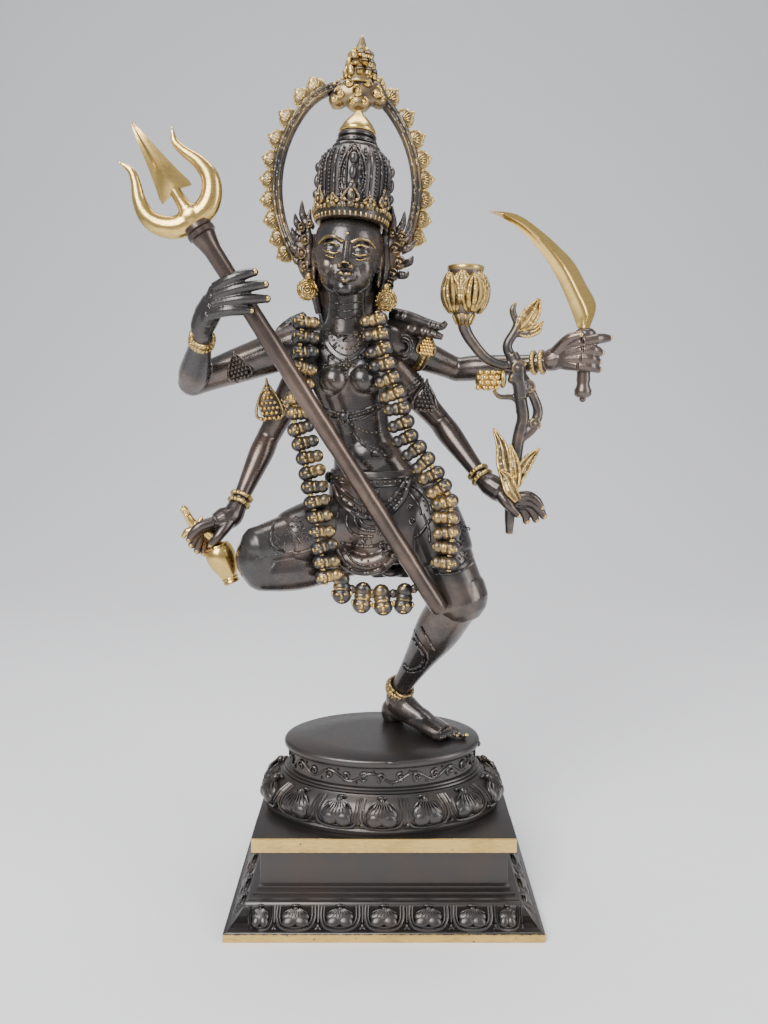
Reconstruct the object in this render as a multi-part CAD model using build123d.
from build123d import *
import math
import os

# Dancing four-armed figure on a stepped lotus plinth, lost-wax brass.
# Origin: centre of the plinth's underside. +Z up, the figure faces -Y, +X is the viewer's right.

# ---- driving dimensions, mm ----
FOOT_HX = 74.9          # half width of the plinth's foot band
FOOT_HY = 52.6          # half depth of the same band
BAND_H = 4.0            # height of the foot band
SLOPE_TOP = 14.0        # top of the petal slope
NECK_Z0 = 19.7          # plain neck, bottom
NECK_HX = 59.0
NECK_HY = 36.7
SLAB_Z0 = 37.6          # top slab
SLAB_Z1 = 44.6
SLAB_HX = 62.6
SLAB_HY = 40.3
WALL = 4.0              # casting wall of plinth and dais
DAIS_RATIO = 0.615      # depth over width of the oval dais
DAIS_TOP = 79.0
CUSHION_R = 61.0
DRUM_R = 47.2
DAIS_X = -1.0
DAIS_Y = -1.0

HEAD_C = (-16.9, -4, 314.0)
CROWN_BASE = (-14.8, -3.5, 333.0)
CROWN_TOP = (-11.4, -1.0, 380.0)
HALO_C = (-17.7, 12, 348.0)
HALO_HX = 33.5          # centre line half width of the ring
HALO_HZ = 46.5          # centre line half height
HALO_SIDE_R = 58.0      # radius of the ring's long side arcs
HALO_TUBE = 2.9
PETAL_OUT = 5.4         # how far a halo petal stands out of the tube

STAFF_HEAD = (-79.1, -37, 322.1)   # where the tines spring from the collar
STAFF_BUTT = (26.5, -26.5, 151.5)
FIST_SHARE = 0.156                 # the fist's place along the staff, from the tines
STAFF_R = 4.15
ROD_R = 3.2
SOCKET_DEPTH = 14.0
SOCKET_GAP = 0.05

BLADE_T = 2.4
GARLAND_HEAD = (4.0, 3.6, 6.4)     # half sizes of one garland head


# ---- small helpers ----
def vec(p):
    return Vector(p[0], p[1], p[2])


def toward(p, q, t):
    return tuple(a + (b - a) * t for a, b in zip(p, q))


def axis_plane(p, q):
    return Plane(origin=vec(p), z_dir=vec(q) - vec(p))


def capsule(p, r0, q, r1):
    """Round-ended tapered bar from p to q."""
    length = (vec(q) - vec(p)).length
    edges = [
        CenterArc((0, 0), r0, -90, 90),
        Line((r0, 0), (r1, length)),
        CenterArc((0, length), r1, 0, 90),
        Line((0, length + r1), (0, -r0)),
    ]
    face = make_face([Plane.XZ * e for e in edges])
    return axis_plane(p, q) * revolve(face, Axis.Z)


def muscle(p, q, stations):
    """Limb turned about the line p-q; stations are (fraction along, radius)."""
    length = (vec(q) - vec(p)).length
    r0 = stations[0][1]
    r1 = stations[-1][1]
    pts = [(r, t * length) for t, r in stations]
    edges = [
        CenterArc((0, 0), r0, -90, 90),
        Spline(*pts),
        CenterArc((0, length), r1, 0, 90),
        Line((0, length + r1), (0, -r0)),
    ]
    face = make_face([Plane.XZ * e for e in edges])
    return axis_plane(p, q) * revolve(face, Axis.Z)


def turned(p, q, profile):
    """Solid turned about the line p-q from straight (radius, height) points."""
    pts = [(0, profile[0][1])] + [(r, z) for r, z in profile] + [(0, profile[-1][1])]
    face = make_face(Plane.XZ * Polyline(*pts, close=True))
    return axis_plane(p, q) * revolve(face, Axis.Z)


def rod(p, q, r):
    length = (vec(q) - vec(p)).length
    return axis_plane(p, q) * Cylinder(r, length, align=(Align.CENTER, Align.CENTER, Align.MIN))


def ellipsoid(centre, half, tilt=(0, 0, 0)):
    ball = scale(Sphere(1), by=half)
    return Location(centre, tilt) * ball


def chain(points, radii):
    """Bent round bar through points, with a slightly fuller ball at each bend."""
    body = Pos(*points[0]) * Sphere(radii[0] * 1.04)
    for i in range(len(points) - 1):
        length = (vec(points[i + 1]) - vec(points[i])).length
        low = radii[i]
        high = radii[i + 1]
        if abs(low - high) < 0.02:
            bar = Cylinder(low, length, align=(Align.CENTER, Align.CENTER, Align.MIN))
        else:
            bar = Cone(low, high, length, align=(Align.CENTER, Align.CENTER, Align.MIN))
        body += axis_plane(points[i], points[i + 1]) * bar
        body += Pos(*points[i + 1]) * Sphere(high * 1.04)
    return body


def band_round(p, q, bore, outer, width):
    """Plain bracelet: a ring of the given width centred on p, axis toward q."""
    w = width / 2
    soft = (outer - bore) * 0.4
    pts = [(bore, -w), (outer - soft, -w), (outer, -w + soft), (outer, w - soft), (outer - soft, w), (bore, w)]
    ring = revolve(make_face(Plane.XZ * Polyline(*pts, close=True)), Axis.Z)
    return axis_plane(p, q) * ring


def leaf_plate(outline, thickness):
    """Flat leaf from (x, z) outline points, thickness along Y, centred on y = 0."""
    face = make_face(Plane.XZ * Polyline(*outline, close=True))
    return extrude(face, amount=thickness / 2, both=True)


def solids_of(shape, least=1.0):
    return [s for s in shape.solids() if s.volume > least]


def cut_by(piece, neighbours):
    """Seat a piece against its neighbours by taking their shape out of it."""
    box = piece.bounding_box()
    for other in neighbours:
        ob = other.bounding_box()
        apart = (
            ob.min.X > box.max.X or ob.max.X < box.min.X
            or ob.min.Y > box.max.Y or ob.max.Y < box.min.Y
            or ob.min.Z > box.max.Z or ob.max.Z < box.min.Z
        )
        if not apart:
            rest = piece - other
            if rest.solids():
                piece = rest
    return piece


def largest(shape):
    return max(shape.solids(), key=lambda s: s.volume)


# ---- plinth and dais ----
def block(hx, hy, z0, z1):
    return Pos(0, 0, (z0 + z1) / 2) * Box(2 * hx, 2 * hy, z1 - z0)


def slope(hx0, hy0, z0, hx1, hy1, z1):
    low = Pos(0, 0, z0) * Rectangle(2 * hx0, 2 * hy0)
    high = Pos(0, 0, z1) * Rectangle(2 * hx1, 2 * hy1)
    return loft([low, high])


def petal_pad(x, y, turn):
    """One raised lotus petal lying on the plinth's slope, 14 mm wide."""
    shape = make_face(Polyline((-7, 0), (-6.4, 4), (-3, 8.2), (0, 9.6), (3, 8.2), (6.4, 4), (7, 0), close=True))
    pad = extrude(shape, amount=0.5, both=True)
    lean = math.degrees(math.atan2(SLOPE_TOP - 4.6, 8.2))
    return Location((x, y, 5.2), (0, 0, turn)) * Rot(lean, 0, 0) * pad


def plinth():
    body = block(FOOT_HX, FOOT_HY, 0, BAND_H)
    body += slope(73.2, 51.0, BAND_H, 65.0, 42.5, SLOPE_TOP)
    body += block(64.1, 41.8, SLOPE_TOP, 15.6)
    body += block(62.4, 40.1, 15.6, 17.7)
    body += block(60.7, 38.4, 17.7, NECK_Z0)
    body += block(NECK_HX, NECK_HY, NECK_Z0, SLAB_Z0)
    slab = block(SLAB_HX, SLAB_HY, SLAB_Z0, SLAB_Z1)
    body += fillet(slab.edges().filter_by(Axis.Z), 1.6)
    inner = slope(69.0, 46.7, -0.01, 61.0, 38.5, SLOPE_TOP - 2.0)
    inner += block(NECK_HX - WALL, NECK_HY - WALL, SLOPE_TOP - 3.0, SLAB_Z1 - WALL)
    body -= inner
    for i in range(5):
        body += petal_pad((i - 2) * 21.5, -50.6, 0)
        body += petal_pad((i - 2) * 21.5, 50.6, 180)
    for i in range(3):
        body += petal_pad(72.8, (i - 1) * 21.5, 90)
        body += petal_pad(-72.8, (i - 1) * 21.5, -90)
    body -= inner
    return largest(body)


def oval(profile, inner):
    """Hollow oval casting: turned profile less an inner turned profile, squeezed in depth."""
    outside = turned((0, 0, 0), (0, 0, 1), profile)
    inside = turned((0, 0, 0), (0, 0, 1), inner)
    body = scale(outside - inside, by=(1, DAIS_RATIO, 1))
    return Pos(DAIS_X, DAIS_Y, 0) * body


def dais_cushion():
    r = CUSHION_R
    outer = [(r - 2, SLAB_Z1), (r - 0.5, 45.6), (r - 0.5, 47.2), (r - 1.6, 48.0), (r, 51.0), (r - 0.8, 54.0),
             (r - 4, 57.4), (r - 8.5, 60.4), (50.6, 62.0)]
    inner = [(r - 6, SLAB_Z1 - 1), (r - 5.5, 50.0), (r - 9, 55.5), (46.0, 59.0), (44.0, 63.0)]
    return largest(oval(outer, inner))


def dais_drum():
    outer = [(50.2, 62.0), (50.2, 63.2), (49.0, 63.8), (49.0, 64.8), (DRUM_R, 65.6), (DRUM_R, 74.8),
             (49.3, 76.2), (49.6, 77.8), (48.8, DAIS_TOP)]
    inner = [(44.0, 61.0), (44.0, 72.0), (41.0, DAIS_TOP - WALL)]
    drum = oval(outer, inner)
    return largest(drum - rod((9, 14, 70), (9, 14, 82), 3.5))


def foot_tenon():
    return rod((9, 14, 70), (9, 14, 86), 3.5)


# ---- legs ----
HIP_S = (19.0, -1, 198)
KNEE_S = (36.6, -14, 155.5)
ANKLE_S = (7.4, 16, 95.5)
HIP_R = (-18.0, -5, 190)
KNEE_R = (-56.5, -25, 182)
SHIN_R = (-56.5, -23, 170)
ANKLE_R = (-6.0, -1, 170)


def standing_leg():
    thigh = muscle(HIP_S, KNEE_S, [(0, 14.0), (0.4, 15.0), (0.8, 13.2), (1, 12.6)])
    calf = muscle(KNEE_S, ANKLE_S, [(0, 12.4), (0.3, 11.6), (0.6, 8.6), (0.9, 5.9), (1, 5.6)])
    return thigh + calf


def standing_foot():
    foot = capsule((4, 20, 84), 5.6, (22, 3, 83.5), 6.2)
    foot += capsule((22, 3, 83.5), 6.1, (33, -7, 81.6), 4.4)
    foot += capsule((6.5, 16.5, 88), 5.6, (20, 5, 85), 5.6)
    for i in range(5):
        toe = (38.5 - i * 2.6, -6.6 - i * 2.0, 81.0)
        foot += capsule(toward((26, -2, 81.5), toe, 0.6), 2.4, toe, 2.0)
    return largest(foot - Pos(0, 0, DAIS_TOP - 20) * Box(200, 200, 40))


def raised_leg():
    thigh = muscle(HIP_R, KNEE_R, [(0, 14.0), (0.4, 13.5), (0.8, 10.6), (1, 9.6)])
    calf = muscle(SHIN_R, ANKLE_R, [(0, 10.2), (0.3, 11.0), (0.6, 8.8), (0.9, 6.0), (1, 5.4)])
    knee = capsule(KNEE_R, 9.4, SHIN_R, 9.8)
    return thigh + knee + calf


def raised_foot():
    foot = capsule(ANKLE_R, 5.3, (6, 2, 164.5), 5.2)
    foot += capsule((6, 2, 164.5), 5.1, (17, 8, 168), 3.8)
    foot += capsule((-4, 2, 166.0), 4.9, (0, 2.5, 162.8), 4.9)
    return foot


# ---- torso, cloth and jewels on it ----
def oval_section(centre, half_x, half_y):
    return Plane(origin=vec(centre), z_dir=(0, 0, 1)) * Ellipse(half_x, half_y)


def torso():
    trunk = loft([
        oval_section((3, 0, 179), 18, 12),
        oval_section((2, 0, 190), 25, 16),
        oval_section((0, 0, 204), 24.5, 16),
        oval_section((-7, -2, 222), 18, 12.5),
        oval_section((-11.5, -3, 234), 14.5, 10.8),
        oval_section((-14.5, -3, 248), 17, 12.4),
        oval_section((-16.5, -2.5, 262), 21, 13.2),
        oval_section((-17.5, -1, 274), 24, 11),
        oval_section((-18, 0, 282), 15, 8.5),
    ])
    neck = capsule((-18, -1, 276), 8, (-17.6, -3, 298), 6.8)
    bust = ellipsoid((-22.9, -11.5, 258.5), (7.2, 7.0, 7.6))
    bust += ellipsoid((-9.7, -11.5, 258.5), (7.2, 7.0, 7.6))
    return trunk + neck + bust


def skirt():
    cloth = loft([
        oval_section((0, -3, 168), 26, 17.5),
        oval_section((1, -2, 184), 30.5, 20),
        oval_section((0, -1, 204), 28.5, 19.2),
        oval_section((-4, -1, 215), 23.5, 16.8),
    ])
    return cloth


def skirt_hem():
    tail = leaf_plate([(-22, 0), (-10, 2.4), (2, 5), (-4, 12), (-20, 12)], 5)
    return Pos(0, -18.5, 164.5) * tail


def hip_belt():
    outer = loft([oval_section((-1.5, -1, 206.5), 30.6, 21.0), oval_section((-3, -1, 212), 28.0, 19.6)])
    return outer


def belt_pendant():
    drop = ellipsoid((-4.0, -22.4, 200.5), (4.6, 2.4, 6.6))
    drop += capsule((-4.0, -21.6, 207.5), 2.6, (-4.0, -22.4, 196.0), 2.0)
    return drop


def under_bust_belt():
    return loft([oval_section((-13.2, -3, 240.2), 17.6, 13.6), oval_section((-13.8, -3, 243.8), 18.3, 14.0)])


def pectoral():
    collar = loft([oval_section((-17.8, -3.0, 268), 20.5, 13.8), oval_section((-18, -1.5, 280), 13.0, 10.0)])
    collar &= Pos(-18, -15, 274) * Box(40, 24, 20)
    drop = ellipsoid((-17.3, -15.2, 264.5), (3.6, 2.6, 4.4))
    return collar + drop


# ---- head and crown ----
def crown_point(t):
    return toward(CROWN_BASE, CROWN_TOP, t)


def head():
    skull = ellipsoid(HEAD_C, (14.6, 15.2, 19.0), (0, 4.5, 0))
    skull += ellipsoid((-17.4, -9.5, 304.5), (10.4, 9.6, 9.4), (0, 4.5, 0))
    nose = capsule((-16.9, -18.6, 316.5), 1.1, (-17.2, -20.2, 311.0), 1.9)
    return skull + nose


def neck_peg():
    return rod((-18, -2, 286), (-17.4, -3, 306), 2.5)


def diadem():
    ring = turned(crown_point(-0.06), crown_point(1), [(16.4, 0), (18.2, 0.6), (18.4, 4.6), (17.2, 6.0)])
    points = []
    for turn, high in [(-90, 9.5), (-150, 7.5), (-30, 7.5), (-120, 6.0), (-60, 6.0)]:
        half = 4.6 if high > 9 else 3.4
        leaf = leaf_plate([(-half, 0), (-half * 0.8, high * 0.5), (0, high), (half * 0.8, high * 0.5), (half, 0)], 2.2)
        points.append(Rot(0, 0, turn + 90) * Pos(0, -17.6, 3.6) * leaf)
    place = axis_plane(crown_point(-0.06), crown_point(1))
    frame = Plane(origin=place.origin, x_dir=(1, 0, 0), z_dir=place.z_dir)
    for leaf in points:
        ring += frame * leaf
    return ring


def crown_dome():
    profile = [(16.6, 0), (17.0, 5.0), (17.9, 12.0), (18.2, 18.5), (17.6, 23.0), (15.6, 27.2), (12.2, 30.2), (9.0, 31.0)]
    return turned(CROWN_BASE, CROWN_TOP, profile)


def crown_neck_ring():
    profile = [(7.6, 31.0), (9.1, 31.6), (9.1, 33.0), (7.8, 33.6), (8.9, 34.2), (8.9, 35.6), (7.6, 36.2)]
    return turned(CROWN_BASE, CROWN_TOP, profile)


def crown_finial():
    profile = [(8.4, 36.2), (8.6, 37.4), (7.0, 40.4), (4.0, 43.8), (1.4, 46.6), (0.5, 47.4)]
    return turned(CROWN_BASE, CROWN_TOP, profile)


def ear_wings():
    left = leaf_plate([(-33.5, 312), (-37.5, 309), (-41.5, 314), (-44.5, 321), (-41.0, 325), (-43.0, 332),
                       (-38.5, 334), (-38.0, 340), (-34.0, 337), (-32.0, 330), (-32.0, 318)], 4.4)
    right = leaf_plate([(-0.5, 306), (4.5, 303), (8.0, 309), (12.5, 313), (10.0, 319), (15.2, 325), (10.4, 328),
                        (12.0, 335), (6.0, 334), (3.5, 339), (0.2, 334), (-1.5, 322)], 4.4)
    return Pos(0, -1, 0) * (left + right)


def earrings():
    left = rod((-36.0, -7.5, 299.5), (-35.6, -3.5, 299.7), 4.8)
    right = rod((1.5, -8.0, 294.8), (1.2, -4.0, 295.0), 4.8)
    return Compound(children=[left.solid(), right.solid()])


def hair_back():
    hair = ellipsoid((-17.5, 8.0, 306), (18.5, 8.5, 21))
    hair += ellipsoid((-18.0, 9.0, 287), (14.0, 6.0, 12))
    return hair


def shoulder_ribbons():
    left = capsule((-39, 8, 287), 2.8, (-52, 1, 278), 1.8)
    right = capsule((5, 8, 288), 2.8, (28, -3, 283.0), 1.8)
    return [left, right]


# ---- halo ----
def halo_path():
    """Centre line of the ring: two long side arcs and a small top arc, all tangent."""
    cx, cy, cz = HALO_C
    side = HALO_SIDE_R
    shift = side - HALO_HX
    hz = HALO_HZ
    top_r = (side * side - shift * shift - hz * hz) / (2 * (side - hz))
    rise = hz - top_r
    lean = math.degrees(math.atan2(rise, shift))
    drop_l = 32.0
    drop_r = 27.0
    place = Plane(origin=(cx, cy, cz), x_dir=(1, 0, 0), z_dir=(0, -1, 0))
    left = CenterArc((shift, 0), side, 180 - lean, lean + drop_l)
    top = CenterArc((0, rise), top_r, lean, 180 - 2 * lean)
    right = CenterArc((-shift, 0), side, -drop_r, lean + drop_r)
    return place, left, top, right, shift, side, rise, top_r, lean


def halo_ring():
    place, left, top, right, shift, side, rise, top_r, lean = halo_path()
    body = None
    for arc, middle in [(left, (shift, 0)), (top, (0, rise)), (right, (-shift, 0))]:
        path = place * arc
        piece = sweep(Plane(origin=path @ 0, z_dir=path % 0) * Circle(HALO_TUBE), path=path)
        body = piece if body is None else body + piece
    return body


def halo_spot(angle):
    """Point on the centre line and outward angle for a given outward angle in degrees."""
    place, left, top, right, shift, side, rise, top_r, lean = halo_path()
    a = math.radians(angle)
    if angle > 90:
        mirror = -1
        a = math.pi - a
    else:
        mirror = 1
    if math.degrees(a) > lean:
        x = top_r * math.cos(a)
        z = rise + top_r * math.sin(a)
    else:
        x = -shift + side * math.cos(a)
        z = side * math.sin(a)
    return HALO_C[0] + mirror * x, HALO_C[2] + z


def halo_petals():
    leaf = leaf_plate([(-3.9, HALO_TUBE - 1.0), (-4.1, 4.6), (-2.4, 6.8), (0, HALO_TUBE + PETAL_OUT), (2.4, 6.8),
                       (4.1, 4.6), (3.9, HALO_TUBE - 1.0)], 2.2)
    left_angles = [119, 134, 148, 158, 167, 175.5, 184, 192.5, 201, 208]
    right_angles = [61, 46, 32, 22, 13, 4.5, -4, -12.5, -20.5]
    petals = []
    for angle in left_angles + right_angles:
        x, z = halo_spot(angle)
        petals.append(Location((x, HALO_C[1], z), (0, 90 - angle, 0)) * leaf)
    return petals


def halo_apex():
    mass = leaf_plate([(-25, 389), (-21, 395.5), (-17, 399), (-10.5, 400.5), (-5, 399), (-1.5, 395), (1.2, 389),
                       (-4, 385.5), (-9.5, 387), (-12, 381.5), (-14.5, 387), (-20, 385.5)], 9)
    leaf = turned((-10.6, 11, 398.6), (-9.4, 11, 417.5), [(7.2, 0), (7.6, 2.0), (5.6, 7.0), (3.8, 10.0), (3.4, 11.5),
                                                         (1.8, 15.0), (0.5, 18.6)])
    return Pos(0, 10.0, 0) * mass + leaf


def halo_pegs():
    left = rod((-30, 6, 318), (-44.6, 12, 320.0), 1.8)
    right = rod((-5, 6, 320), (7.4, 12, 323.0), 1.8)
    foot = rod((-11.6, -1.0, 378.6), (-12.0, 7.0, 385.4), 1.1)
    return [left, right, foot]


# ---- arms ----
SHOULDER_L = (-38.5, 0, 276)
SHOULDER_R = (3.0, 0, 276.5)
LOW_SHOULDER_L = (-38.0, 4, 265)
LOW_SHOULDER_R = (3.5, 4, 265)
ELBOW_T = (-92.5, 2, 257.6)
WRIST_T = (-80.0, -29, 277.0)
ELBOW_W = (36, 11, 263.5)
WRIST_W = (75.5, -8, 266.6)
ELBOW_F = (-57.2, 7, 230.5)
WRIST_F = (-69.6, -12, 199.4)
ELBOW_L = (27.5, 9, 238.5)
WRIST_L = (47.4, -10, 211.4)


def arm(shoulder, elbow, wrist, size):
    upper = muscle(shoulder, elbow, [(0, 8.4 * size), (0.35, 7.6 * size), (0.8, 6.1 * size), (1, 6.0 * size)])
    fore = muscle(elbow, wrist, [(0, 5.9 * size), (0.3, 6.2 * size), (0.75, 4.6 * size), (1, 3.9 * size)])
    return upper + fore


def arm_trident():
    return arm(SHOULDER_L, ELBOW_T, WRIST_T, 1.0)


def arm_sword():
    return arm(SHOULDER_R, ELBOW_W, WRIST_W, 0.98)


def arm_flask():
    return arm(LOW_SHOULDER_L, ELBOW_F, WRIST_F, 0.95)


def arm_lotus():
    return arm(LOW_SHOULDER_R, ELBOW_L, WRIST_L, 0.95)


def arm_pegs():
    pegs = [
        rod((-28, 0, 275.6), (-42, 0, 275), 2.5),
        rod((-8, 0, 276), (8, 0.4, 275.8), 2.5),
        rod((-29, 3, 263), (-40, 5, 262), 2.2),
        rod((-6, 3, 263), (6, 5, 262), 2.2),
    ]
    return pegs


def fingers(starts, tips, radius, bend):
    """Four bent fingers from the knuckles to the tips, bowed by the bend offset."""
    body = None
    for s, t in zip(starts, tips):
        mid = tuple(m + b for m, b in zip(toward(s, t, 0.45), bend))
        one = chain([s, mid, t], [radius * 1.08, radius, radius * 0.86])
        body = one if body is None else body + one
    return body


def hand_trident():
    palm = capsule((-79.5, -30.5, 281), 4.6, (-73.2, -37, 291.5), 6.0)
    palm += capsule((-72.8, -37, 288.5), 4.4, (-70.6, -37.0, 295.0), 4.4)
    starts = [(-71.6, -40.6, 296.0), (-71.6, -41.0, 292.6), (-72.6, -40.6, 289.0), (-74.0, -39.8, 285.6)]
    tips = [(-54.6, -42.0, 302.4), (-50.2, -41.8, 297.4), (-49.6, -41.4, 291.6), (-56.4, -41.4, 286.6)]
    body = palm + fingers(starts, tips, 2.0, (0, -2.2, 0))
    thumb = chain([(-76, -33, 288), (-70, -30.5, 296), (-62, -31, 301)], [2.8, 2.5, 2.0])
    body += thumb
    return body


def hand_sword():
    palm = capsule((78.5, -9, 267.5), 4.3, (87.5, -10, 271.0), 5.4)
    starts = [(90.5, -18.5, 275.2), (90.5, -19.2, 271.4), (90.0, -19.0, 267.6), (89.0, -18.0, 264.4)]
    tips = [(103.0, -14.5, 277.0), (99.0, -16.5, 270.4), (98.0, -16.5, 266.4), (98.4, -16.0, 262.8)]
    body = palm
    for s, t in zip(starts, tips):
        body += chain([(85.0, -13.0, s[2]), s, t], [2.3, 2.1, 1.7])
    body += chain([(80.5, -12, 271.5), (84.5, -17.0, 276.5), (89.0, -19.6, 278.2)], [2.6, 2.2, 1.8])
    return body


def hand_flask():
    palm = capsule((-72.0, -14.5, 194.6), 4.2, (-79.0, -18, 191.6), 5.0)
    starts = [(-79.5, -20.5, 192.6), (-81.0, -18.5, 190.6), (-82.0, -16.5, 188.8), (-82.0, -14.5, 187.0)]
    tips = [(-90.5, -23.0, 184.6), (-90.0, -21.4, 181.8), (-88.0, -19.0, 178.6), (-85.5, -16.5, 177.0)]
    body = palm + fingers(starts, tips, 1.9, (-1.6, -0.6, 2.0))
    body += chain([(-73, -18, 192), (-76.5, -22, 187), (-80.5, -23, 182.5)], [2.5, 2.1, 1.7])
    return body


def hand_lotus():
    palm = capsule((50.0, -12, 209.4), 4.2, (58.5, -15.5, 204.2), 5.0)
    starts = [(61.0, -17.5, 204.6), (62.0, -15.8, 202.4), (62.2, -14.0, 200.6), (61.4, -12.2, 199.0)]
    tips = [(76.2, -18.0, 196.8), (75.2, -16.4, 193.8), (72.0, -14.4, 192.6), (67.5, -12.8, 191.8)]
    body = palm + fingers(starts, tips, 1.8, (0.6, -0.6, 1.4))
    body += chain([(54.0, -16.0, 206.0), (57.8, -19.5, 200.8), (62.5, -18.6, 196.0)], [2.4, 2.0, 1.6])
    return body


def armlet(p, q, bore, leaf_h, leaf_half):
    """Arm band with a leaf standing on its front."""
    band = band_round(p, q, bore, bore + 1.8, 7.0)
    frame = axis_plane(p, q)
    front = Plane(origin=vec(p), x_dir=frame.z_dir.cross(Vector(0, -1, 0)), z_dir=frame.z_dir)
    leaf = leaf_plate([(-leaf_half, 0), (-leaf_half * 0.9, leaf_h * 0.45), (0, leaf_h), (leaf_half * 0.9, leaf_h * 0.45),
                       (leaf_half, 0), (0, -3.5)], 2.6)
    side = 1 if front.y_dir.Y > 0 else -1
    band += front * (Pos(0, -side * (bore + 0.9), 0) * leaf)
    return band


def bracelets():
    rings = []
    for wrist, elbow, bore in [(WRIST_T, ELBOW_T, 4.1), (WRIST_W, ELBOW_W, 4.0),
                               (WRIST_F, ELBOW_F, 3.9), (WRIST_L, ELBOW_L, 3.9)]:
        rings.append(band_round(toward(wrist, elbow, 0.03), elbow, bore, bore + 1.5, 2.2))
        rings.append(band_round(toward(wrist, elbow, 0.11), elbow, bore + 0.2, bore + 1.7, 2.2))
    return rings


def standing_anklet():
    return band_round(toward(ANKLE_S, KNEE_S, -0.01), KNEE_S, 5.4, 7.2, 4.6)


# ---- garland of heads ----
def cast_head(point, tilt):
    """One small head as a round-ended bar, its long side turned by tilt in the front view."""
    half = GARLAND_HEAD[2] - GARLAND_HEAD[1]
    dx = half * math.cos(math.radians(tilt))
    dz = -half * math.sin(math.radians(tilt))
    x, y, z = point
    return capsule((x - dx, y, z - dz), GARLAND_HEAD[1] * 0.95, (x + dx, y, z + dz), GARLAND_HEAD[1] * 0.95)


def garland(points, tilts):
    """A run of small cast heads lying side by side, one per point."""
    return [cast_head(point, tilt) for point, tilt in zip(points, tilts)]


def evenly(stops, pitch):
    """Points every pitch along the straight runs between stops."""
    out = [stops[0]]
    spare = pitch
    for a, b in zip(stops[:-1], stops[1:]):
        run = (vec(b) - vec(a)).length
        at = spare
        while at <= run:
            out.append(toward(a, b, at / run))
            at += pitch
        spare = at - run
    return out


def tilts_of(points):
    """Angle of each head: its long side square to the strand, seen from the front."""
    out = []
    for i in range(len(points)):
        a = points[max(i - 1, 0)]
        b = points[min(i + 1, len(points) - 1)]
        out.append(-math.degrees(math.atan2(b[0] - a[0], a[2] - b[2])) * -1)
    return out


def garland_right_strand():
    stops = [(-36.0, -13, 284), (-36.5, -17.5, 266), (-39.5, -17, 250), (-39.0, -17, 237), (-34.5, -19, 222),
             (-31.0, -23.5, 202), (-28.5, -26.5, 186), (-25.5, -27, 170)]
    points = evenly(stops, 7.0)
    return garland(points, tilts_of(points))


def garland_left_strand():
    stops = [(-4.5, -14, 285), (-1.0, -17.5, 267), (5.5, -19, 248), (9.5, -20, 232), (20.5, -22.5, 217),
             (28.0, -25, 204), (29.0, -26, 188), (28.0, -27, 172)]
    points = evenly(stops, 7.0)
    return garland(points, tilts_of(points))


def garland_hem():
    points = [(-19.8, -24, 161.5), (-10.2, -23, 156.6), (-0.8, -22.5, 155.4), (9.4, -22.5, 156.0)]
    return [cast_head(point, 90) for point in points]


# ---- trident ----
def staff_dir():
    return (vec(STAFF_HEAD) - vec(STAFF_BUTT)).normalized()


def staff_at(d):
    """Point on the staff axis, d mm from the fist towards the tines (negative is down)."""
    p = vec(toward(STAFF_HEAD, STAFF_BUTT, FIST_SHARE)) + staff_dir() * d
    return (p.X, p.Y, p.Z)


def trident_staff():
    top = staff_at(-4.0)
    body = rod(STAFF_BUTT, top, STAFF_R)
    body -= rod(staff_at(-4.0 - SOCKET_DEPTH), staff_at(2), ROD_R + SOCKET_GAP)
    return body


def trident_neck():
    length = FIST_SHARE * (vec(STAFF_HEAD) - vec(STAFF_BUTT)).length
    tail = rod(staff_at(-4.0 - SOCKET_DEPTH), staff_at(length - 9.0), ROD_R)
    collar = turned(staff_at(length - 9.5), staff_at(length), [(3.2, 0), (3.8, 2.0), (5.0, 5.0), (5.9, 8.2), (5.7, 9.5)])
    return tail + collar


def tine(side):
    """One outer tine: out from the root, round the bend and up to a point."""
    return Polyline(
        (0, -0.5), (side * 9.0, 1.0), (side * 14.6, 6.5), (side * 19.3, 13.0), (side * 18.2, 20.5), (side * 13.5, 28.5),
        (side * 12.0, 33.5), (side * 13.2, 38.5), (side * 10.2, 34.0), (side * 10.4, 28.5), (side * 12.8, 21.0),
        (side * 12.4, 14.0), (side * 8.0, 9.6), (0, 9.4), close=True)


def trident_head():
    flat = extrude(make_face(tine(1)), amount=2.4, both=True)
    flat += extrude(make_face(tine(-1)), amount=2.4, both=True)
    blade = make_face(Polyline((-1.6, 8), (-1.6, 14.5), (-7.6, 17.5), (0, 47.5), (7.6, 17.5), (1.6, 14.5), (1.6, 8), close=True))
    flat += extrude(blade, amount=2.2, both=True)
    d = staff_dir()
    base = STAFF_HEAD
    across = Vector(0, 1, 0).cross(d)
    frame = Plane(origin=vec(base), x_dir=across, z_dir=across.cross(d))
    return frame * flat


def trident_pin():
    p = staff_at(17.0)
    return rod((p[0], p[1] - ROD_R, p[2]), (p[0], p[1] + ROD_R, p[2]), 0.6)


# ---- sword ----
def sword_blade():
    spine = [(94.2, 281.5), (96.6, 291.5), (91.8, 300.7), (86.0, 310.3), (79.0, 317.3), (72.5, 322.9), (62.4, 330.0),
             (55.6, 332.2), (47.5, 332.6)]
    edge = [(55.7, 328.5), (62.5, 323.8), (71.4, 314.3), (78.0, 304.6), (83.4, 294.0), (87.2, 285.0), (88.4, 281.5)]
    back = Spline(*spine)
    front = Spline(spine[-1], *edge)
    tip = Line(edge[-1], spine[0])
    face = make_face([Plane.XZ * e for e in (back, front, tip)])
    blade = extrude(face, amount=BLADE_T / 2, both=True)
    tang = Pos(92.2, 0, 275.0) * Box(2.4, 2.0, 14.0)
    return Pos(0, -15, 0) * (blade + tang)


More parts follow.
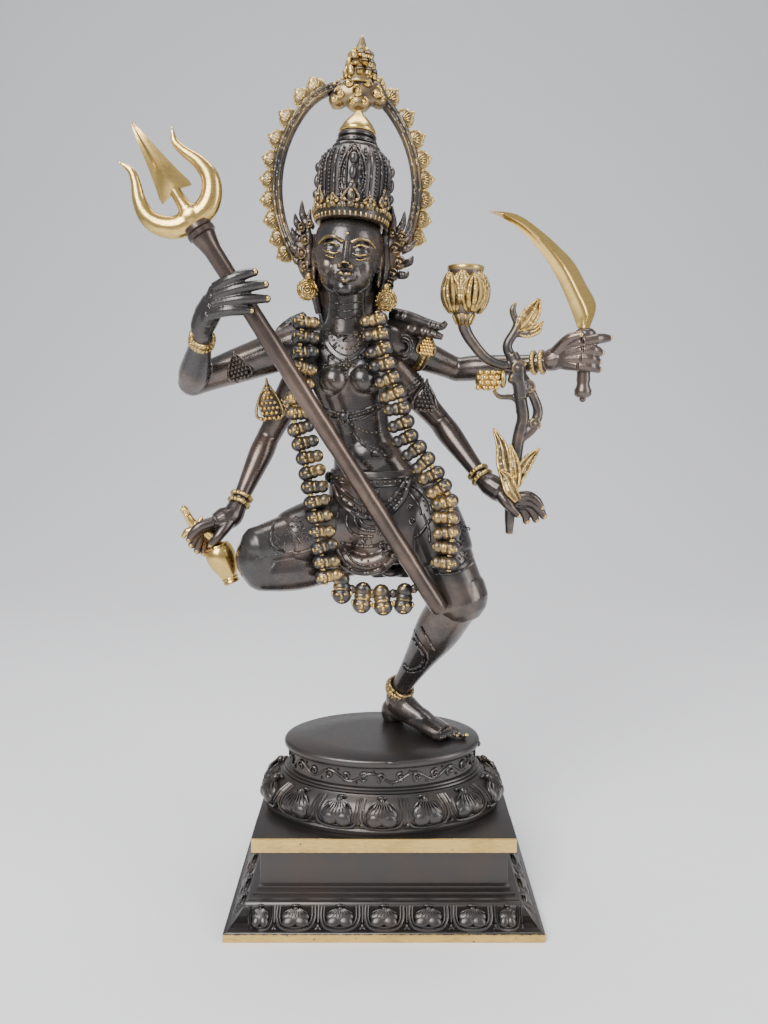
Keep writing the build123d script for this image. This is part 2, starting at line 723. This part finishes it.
def sword_grip():
    profile = [(3.2, 0), (4.0, 1.0), (4.0, 3.0), (3.4, 4.6), (3.0, 8.0), (3.2, 16.0), (3.2, 25.0), (4.6, 27.0), (4.6, 29.4),
               (3.0, 30.6), (3.0, 31.0)]
    return turned((92.1, -15, 250.4), (92.2, -15, 281.4), profile)


# ---- lotus spray ----
def lotus_stem():
    main = chain([(59.4, -15.5, 186), (59.8, -15.5, 200), (62.6, -15, 229.5), (64.7, -15, 240), (63.8, -15, 247),
                  (62.0, -15, 256.5), (59.4, -15, 266.7), (56.6, -15, 273.5), (60.2, -15, 280.5), (60.6, -15, 287)],
                 [1.9, 2.4, 2.4, 2.2, 2.0, 2.0, 2.0, 1.8, 1.7, 1.6])
    side = chain([(63.5, -15, 231), (69.0, -15, 236), (71.6, -15, 243.4), (68.8, -15, 251.5), (65.2, -15, 258.5),
                  (60.2, -15, 265)], [1.7, 1.8, 1.8, 1.7, 1.7, 1.7])
    bud_stem = chain([(59.4, -15, 266.2), (54.8, -16, 264.6), (46.7, -17, 268.0), (39.8, -18, 275.6), (37.0, -19, 281.5)],
                     [1.7, 1.7, 1.7, 1.7, 2.0])
    hook = chain([(64.0, -15, 246), (59.8, -15, 250), (53.5, -15.5, 250.5)], [1.4, 1.4, 1.1])
    return main + side + bud_stem + hook


def lotus_bud():
    profile = [(2.2, 0), (4.4, 2.2), (7.0, 6.0), (9.2, 10.6), (10.1, 14.6), (9.6, 19.0), (8.2, 22.6), (7.7, 25.6), (7.0, 25.6),
               (6.4, 24.4)]
    return turned((36.0, -19.6, 282.8), (36.6, -20, 308.0), profile)


def lotus_pod():
    pod = Pos(48.4, -16, 258.1) * Sphere(5.0)
    for i in range(4):
        for j in range(2):
            turn = math.radians(i * 45 + 20 + j * 22)
            x = 48.4 + 4.6 * math.cos(turn + math.pi / 2)
            z = 258.1 + 4.6 * math.sin(turn + math.pi / 2) * (0.4 + 0.6 * j)
            pod += Pos(x, -18.8 + j * 2, z) * Sphere(1.5)
    pod += capsule((50.5, -15.8, 258.4), 2.2, (54.6, -15.4, 258.8), 2.6)
    return pod


def lotus_leaves():
    leaves = [
        ellipsoid((54.2, -16.5, 224.0), (2.8, 1.6, 11.0), (0, -17, 0)),
        ellipsoid((59.6, -18.2, 221.5), (2.6, 1.4, 8.6), (0, 14, 0)),
        ellipsoid((67.6, -15.0, 224.6), (2.4, 1.5, 6.2), (0, 52, 0)),
        ellipsoid((57.0, -19.0, 210.6), (3.2, 1.5, 8.0), (0, -32, 0)),
        ellipsoid((66.8, -15.0, 286.6), (6.2, 1.8, 3.8), (0, -28, 0)),
        ellipsoid((67.6, -15.0, 279.6), (4.6, 1.5, 2.2), (0, 10, 0)),
    ]
    return leaves


# ---- flask ----
FLASK_TOP = (-80.5, -18, 184.5)
FLASK_BOT = (-72.4, -18, 163.0)


def flask_body():
    profile = [(3.1, -0.5), (3.2, 1.0), (3.0, 2.5), (6.2, 5.0), (7.0, 8.6), (6.6, 13.0), (5.0, 17.6), (3.6, 20.4), (3.2, 21.2),
               (3.3, 23.2)]
    return turned(FLASK_TOP, FLASK_BOT, profile)


def flask_lid():
    top = capsule(FLASK_TOP, 3.0, (-85.0, -18, 188.0), 2.4)
    top += chain([(-85.0, -18, 188.0), (-90.5, -18, 192.0), (-94.0, -18, 198.3)], [2.0, 2.2, 1.8])
    top += capsule((-88.0, -18, 188.0), 1.8, (-95.0, -18.5, 184.6), 1.6)
    return top


# ---- assembly order: earlier pieces keep their shape, later ones are seated round them ----
def build_all():
    made = {}

    def add(name, shape, neighbours=(), least=1.0):
        shapes = shape if isinstance(shape, (list, tuple)) else [shape]
        kept = []
        around = []
        for other in neighbours:
            around.extend(made[other])
        for one in shapes:
            fitted = cut_by(one, around)
            kept.extend(solids_of(fitted, least) if isinstance(shape, (list, tuple)) else [largest(fitted)])
        made[name] = kept

    add("plinth", plinth())
    add("dais_cushion", dais_cushion())
    add("dais_drum", dais_drum())
    add("foot_tenon", foot_tenon())
    add("neck_peg", neck_peg())
    add("arm_pegs", arm_pegs())
    add("halo_pegs", halo_pegs())
    add("trident_neck", trident_neck())
    add("trident_pin", trident_pin())
    made["trident_neck"] = [largest(made["trident_neck"][0] - made["trident_pin"][0])]
    add("trident_head", trident_head(), ["trident_neck"])
    add("trident_staff", trident_staff())
    add("torso", torso(), ["neck_peg", "arm_pegs"])
    add("head", head(), ["neck_peg", "torso", "halo_pegs"])
    add("crown_dome", crown_dome(), ["head"])
    add("crown_neck_ring", crown_neck_ring())
    add("crown_finial", crown_finial(), ["halo_pegs"])
    add("diadem", diadem(), ["head", "crown_dome"])
    add("hair_back", hair_back(), ["head", "torso", "crown_dome", "diadem", "halo_pegs", "arm_pegs"])
    wings = ear_wings()
    made["ear_wings"] = solids_of(cut_by(wings, [s for n in ("head", "diadem", "hair_back", "crown_dome", "halo_pegs") for s in made[n]]), 20)
    add("earrings", [s for s in earrings().solids()], ["head", "ear_wings", "hair_back"])
    add("halo_ring", halo_ring(), ["halo_pegs", "ear_wings", "hair_back"])
    add("halo_apex", halo_apex(), ["halo_ring", "halo_pegs", "crown_finial"])
    add("halo_petals", halo_petals(), ["halo_ring", "halo_apex"])
    add("standing_leg", standing_leg(), ["torso", "foot_tenon", "trident_staff"])
    add("standing_foot", standing_foot(), ["standing_leg", "foot_tenon", "dais_drum"])
    add("standing_anklet", standing_anklet(), ["standing_leg", "standing_foot"])
    add("raised_leg", raised_leg(), ["torso", "standing_leg", "trident_staff"])
    add("raised_foot", raised_foot(), ["raised_leg", "torso", "standing_leg"])
    add("arm_trident", arm_trident(), ["torso", "arm_pegs", "hair_back"])
    add("arm_sword", arm_sword(), ["torso", "arm_pegs", "hair_back"])
    add("arm_flask", arm_flask(), ["torso", "arm_pegs", "arm_trident", "hair_back"])
    add("arm_lotus", arm_lotus(), ["torso", "arm_pegs", "arm_sword", "hair_back"])
    add("skirt", skirt(), ["torso", "standing_leg", "raised_leg", "raised_foot", "trident_staff"])
    add("hip_belt", hip_belt(), ["torso", "skirt", "standing_leg", "trident_staff"])
    add("belt_pendant", belt_pendant(), ["torso", "skirt", "hip_belt", "trident_staff"])
    add("skirt_hem", skirt_hem(), ["skirt", "torso", "raised_leg", "raised_foot", "standing_leg"])
    add("under_bust_belt", under_bust_belt(), ["torso", "trident_staff"])
    add("pectoral", pectoral(), ["torso", "head", "arm_trident", "arm_sword"])
    add("shoulder_ribbons", shoulder_ribbons())
    clear_rod = rod(staff_at(-4.0), staff_at(24), ROD_R + 0.4)
    add("hand_trident", hand_trident() - clear_rod, ["arm_trident", "trident_staff"])
    add("sword_blade", sword_blade())
    add("sword_grip", sword_grip(), ["sword_blade"])
    add("hand_sword", hand_sword(), ["arm_sword", "sword_grip", "sword_blade"])
    add("flask_body", flask_body())
    add("flask_lid", flask_lid(), ["flask_body"])
    add("hand_flask", hand_flask(), ["arm_flask", "flask_body", "flask_lid"])
    add("lotus_stem", lotus_stem())
    add("lotus_bud", lotus_bud(), ["lotus_stem"])
    add("lotus_pod", lotus_pod(), ["lotus_stem"])
    add("hand_lotus", hand_lotus(), ["arm_lotus", "lotus_stem"])
    add("lotus_leaves", lotus_leaves(), ["lotus_stem", "hand_lotus", "lotus_pod", "lotus_bud"])
    add("armlet_trident", armlet((-70.5, 1, 265.0), (-52, 0, 271), 6.4, 9, 6), ["arm_trident"])
    add("armlet_sword", armlet((23.0, 6.5, 269.2), (12, 3, 273), 6.9, 9, 6), ["arm_sword", "shoulder_ribbons"])
    add("armlet_flask", armlet((-52.5, 6.2, 239.5), (-44.5, 5.2, 254), 6.0, 15, 6.4), ["arm_flask"])
    add("armlet_lotus", armlet((17.0, 6.8, 250.5), (8, 5, 260), 6.3, 10, 6.4), ["arm_lotus", "arm_sword"])
    add("bracelets", bracelets(), ["arm_trident", "arm_sword", "arm_flask", "arm_lotus", "hand_trident", "hand_sword",
                                   "hand_flask", "hand_lotus"])
    body_pieces = ["torso", "skirt", "hip_belt", "under_bust_belt", "pectoral", "standing_leg", "raised_leg", "trident_staff",
                   "arm_trident", "arm_sword", "arm_flask", "arm_lotus", "skirt_hem", "earrings", "belt_pendant",
                   "armlet_sword", "armlet_lotus", "armlet_flask", "head", "shoulder_ribbons", "hair_back"]
    add("garland_right_strand", garland_right_strand(), body_pieces)
    add("garland_left_strand", garland_left_strand(), body_pieces)
    add("garland_hem", garland_hem(), body_pieces + ["garland_right_strand", "garland_left_strand"])
    return made


os.makedirs("parts", exist_ok=True)
for name, solids in build_all().items():
    if len(solids) == 1:
        export_step(solids[0], f"parts/{name}.step")
    else:
        export_step(Compound(children=solids), f"parts/{name}.step")
    total = sum(s.volume for s in solids)
    print(f"{name:24s} solids {len(solids):3d}  volume {total:10.1f} mm3  valid {all(s.is_valid for s in solids)}")
